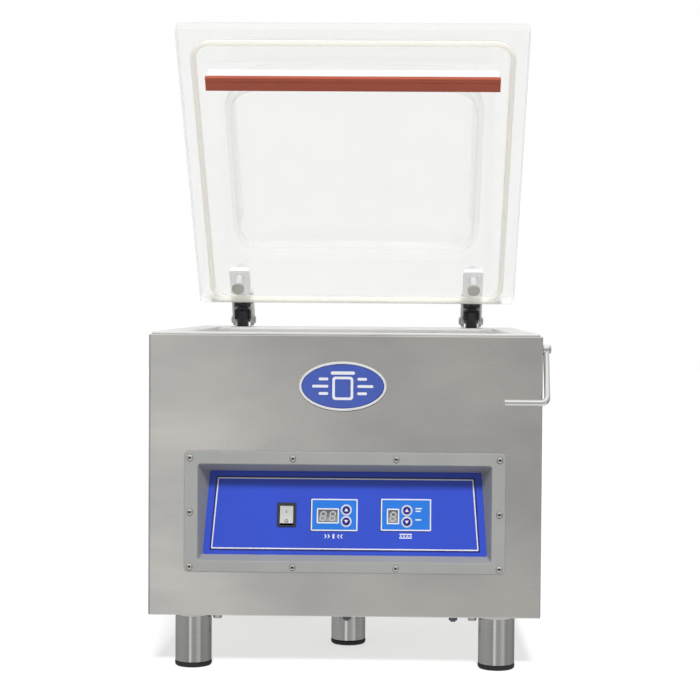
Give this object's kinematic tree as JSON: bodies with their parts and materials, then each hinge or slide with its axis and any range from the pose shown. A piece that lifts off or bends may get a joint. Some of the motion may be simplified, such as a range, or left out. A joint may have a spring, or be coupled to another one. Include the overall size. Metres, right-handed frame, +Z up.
{
  "type": "vacuum packing machine",
  "caption": "Table-top chamber vacuum packer: stainless cabinet on tubular legs, clear domed lid on gas springs, recessed control panel and lifting seal bar.",
  "frame": {"origin": "centre of the underside of the middle foot, on the machine's left-right middle plane, at bench level", "axes": "+X to the operator's right, -Y towards the operator (the control panel faces -Y), +Z up"},
  "size_m": [0.5019, 0.567, 0.84],
  "materials": {
    "cabinet_steel": "brushed, satin",
    "bright_steel": "bright turned",
    "aluminium": "satin",
    "clear_acrylic": "clear, polished",
    "gasket_cord": "matt, cream",
    "silicone": "matt, red-brown",
    "white_plastic": "satin white",
    "grey_plastic": "fine grain, grey",
    "blue_panel": "satin film, blue",
    "badge_blue": "gloss, blue",
    "navy_button": "satin, navy",
    "black_plastic": "satin, black",
    "rocker_white": "gloss",
    "foot_rubber": "matt, black",
    "circuit_board": "solder mask",
    "pump_paint": "painted casting",
    "transformer_core": "varnished",
    "spring_black": "satin, black"
  },
  "bodies": {
    "cabinet": {"badge_plate": "badge_blue", "base_pan": "cabinet_steel", "bezel_screw_01": "bright_steel", "bezel_screw_02": "bright_steel", "bezel_screw_03": "bright_steel", "bezel_screw_04": "bright_steel", "bezel_screw_05": "bright_steel", "bezel_screw_06": "bright_steel", "bezel_screw_07": "bright_steel", "bezel_screw_08": "bright_steel", "bezel_screw_09": "bright_steel", "bezel_screw_10": "bright_steel", "body_shell": "cabinet_steel", "chamber_deck": "cabinet_steel", "control_bezel": "grey_plastic", "control_board": "circuit_board", "control_panel": "blue_panel", "foot_front_left": "foot_rubber", "foot_front_right": "foot_rubber", "foot_middle": "foot_rubber", "foot_rear_left": "foot_rubber", "foot_rear_right": "foot_rubber", "hinge_pin_left": "bright_steel", "hinge_pin_right": "bright_steel", "hinge_post_left": "cabinet_steel", "hinge_post_right": "cabinet_steel", "latch_pivot": "bright_steel", "leg_front_left": "cabinet_steel", "leg_front_right": "cabinet_steel", "leg_middle": "cabinet_steel", "leg_rear_left": "cabinet_steel", "leg_rear_right": "cabinet_steel", "power_inlet": "black_plastic", "pump_motor": "pump_paint", "rear_panel": "cabinet_steel", "seal_transformer": "transformer_core", "suction_hose": "black_plastic", "switch_housing": "black_plastic", "vacuum_pump": "pump_paint"},
    "lid": {"lid_pane": "clear_acrylic", "lid_gasket": "gasket_cord", "counter_bar": "white_plastic", "silicone_pad": "silicone", "hinge_block_left": "white_plastic", "hinge_block_right": "white_plastic", "clamp_screw_left": "bright_steel", "clamp_screw_right": "bright_steel", "hinge_arm_left": "aluminium", "hinge_arm_right": "aluminium"},
    "spring_tube_left": {"spring_tube_left": "spring_black"},
    "spring_tube_right": {"spring_tube_right": "spring_black"},
    "spring_rod_left": {"spring_rod_left": "bright_steel"},
    "spring_rod_right": {"spring_rod_right": "bright_steel"},
    "power_rocker": {"power_rocker": "rocker_white"},
    "seal_bar": {"seal_bar": "aluminium"},
    "latch_rod": {"latch_rod": "bright_steel"},
    "vacuum_up_button": {"vacuum_up_button": "navy_button"},
    "vacuum_down_button": {"vacuum_down_button": "navy_button"},
    "seal_up_button": {"seal_up_button": "navy_button"},
    "seal_down_button": {"seal_down_button": "navy_button"}
  },
  "joints": [
    {"name": "lid_hinge", "type": "hinge", "parent": "cabinet", "child": "lid", "pos_m": [0, 0.328, 0.4345], "axis": [1, 0, 0], "range_deg": [0, 51]},
    {"name": "spring_pivot_left", "type": "hinge", "parent": "lid", "child": "spring_tube_left", "pos_m": [-0.176, 0.31416, 0.4516], "axis": [1, 0, 0], "range_deg": [-49.2, 0]},
    {"name": "spring_stroke_left", "type": "slide", "parent": "spring_tube_left", "child": "spring_rod_left", "axis": [0, 0.0209, 0.9998], "range_m": [0, 0.01723]},
    {"name": "spring_pivot_right", "type": "hinge", "parent": "lid", "child": "spring_tube_right", "pos_m": [0.176, 0.31416, 0.4516], "axis": [1, 0, 0], "range_deg": [-49.2, 0]},
    {"name": "spring_stroke_right", "type": "slide", "parent": "spring_tube_right", "child": "spring_rod_right", "axis": [0, 0.0209, 0.9998], "range_m": [0, 0.01723]},
    {"name": "rocker_tilt", "type": "hinge", "parent": "cabinet", "child": "power_rocker", "pos_m": [-0.0733, -0.1574, 0.19407], "axis": [1, 0, 0], "range_deg": [0, 14]},
    {"name": "vacuum_up_press", "type": "slide", "parent": "cabinet", "child": "vacuum_up_button", "axis": [0, 0.9815, -0.1913], "range_m": [0, 0.0006]},
    {"name": "vacuum_down_press", "type": "slide", "parent": "cabinet", "child": "vacuum_down_button", "axis": [0, 0.9815, -0.1913], "range_m": [0, 0.0006]},
    {"name": "seal_up_press", "type": "slide", "parent": "cabinet", "child": "seal_up_button", "axis": [0, 0.9815, -0.1913], "range_m": [0, 0.0006]},
    {"name": "seal_down_press", "type": "slide", "parent": "cabinet", "child": "seal_down_button", "axis": [0, 0.9815, -0.1913], "range_m": [0, 0.0006]},
    {"name": "seal_bar_lift", "type": "slide", "parent": "cabinet", "child": "seal_bar", "axis": [0, 0, 1], "range_m": [0, 0.006]},
    {"name": "latch_swing", "type": "hinge", "parent": "cabinet", "child": "latch_rod", "pos_m": [0.2505, -0.16, 0.4047], "axis": [-1, 0, 0], "range_deg": [0, 203]}
  ],
  "couplings": [
    {"joint": "spring_pivot_left", "follows": "lid_hinge", "ratio": -0.96183},
    {"joint": "spring_stroke_left", "follows": "lid_hinge", "m_per_rad": 0.019246},
    {"joint": "spring_pivot_right", "follows": "lid_hinge", "ratio": -0.96183},
    {"joint": "spring_stroke_right", "follows": "lid_hinge", "m_per_rad": 0.019246}
  ]
}
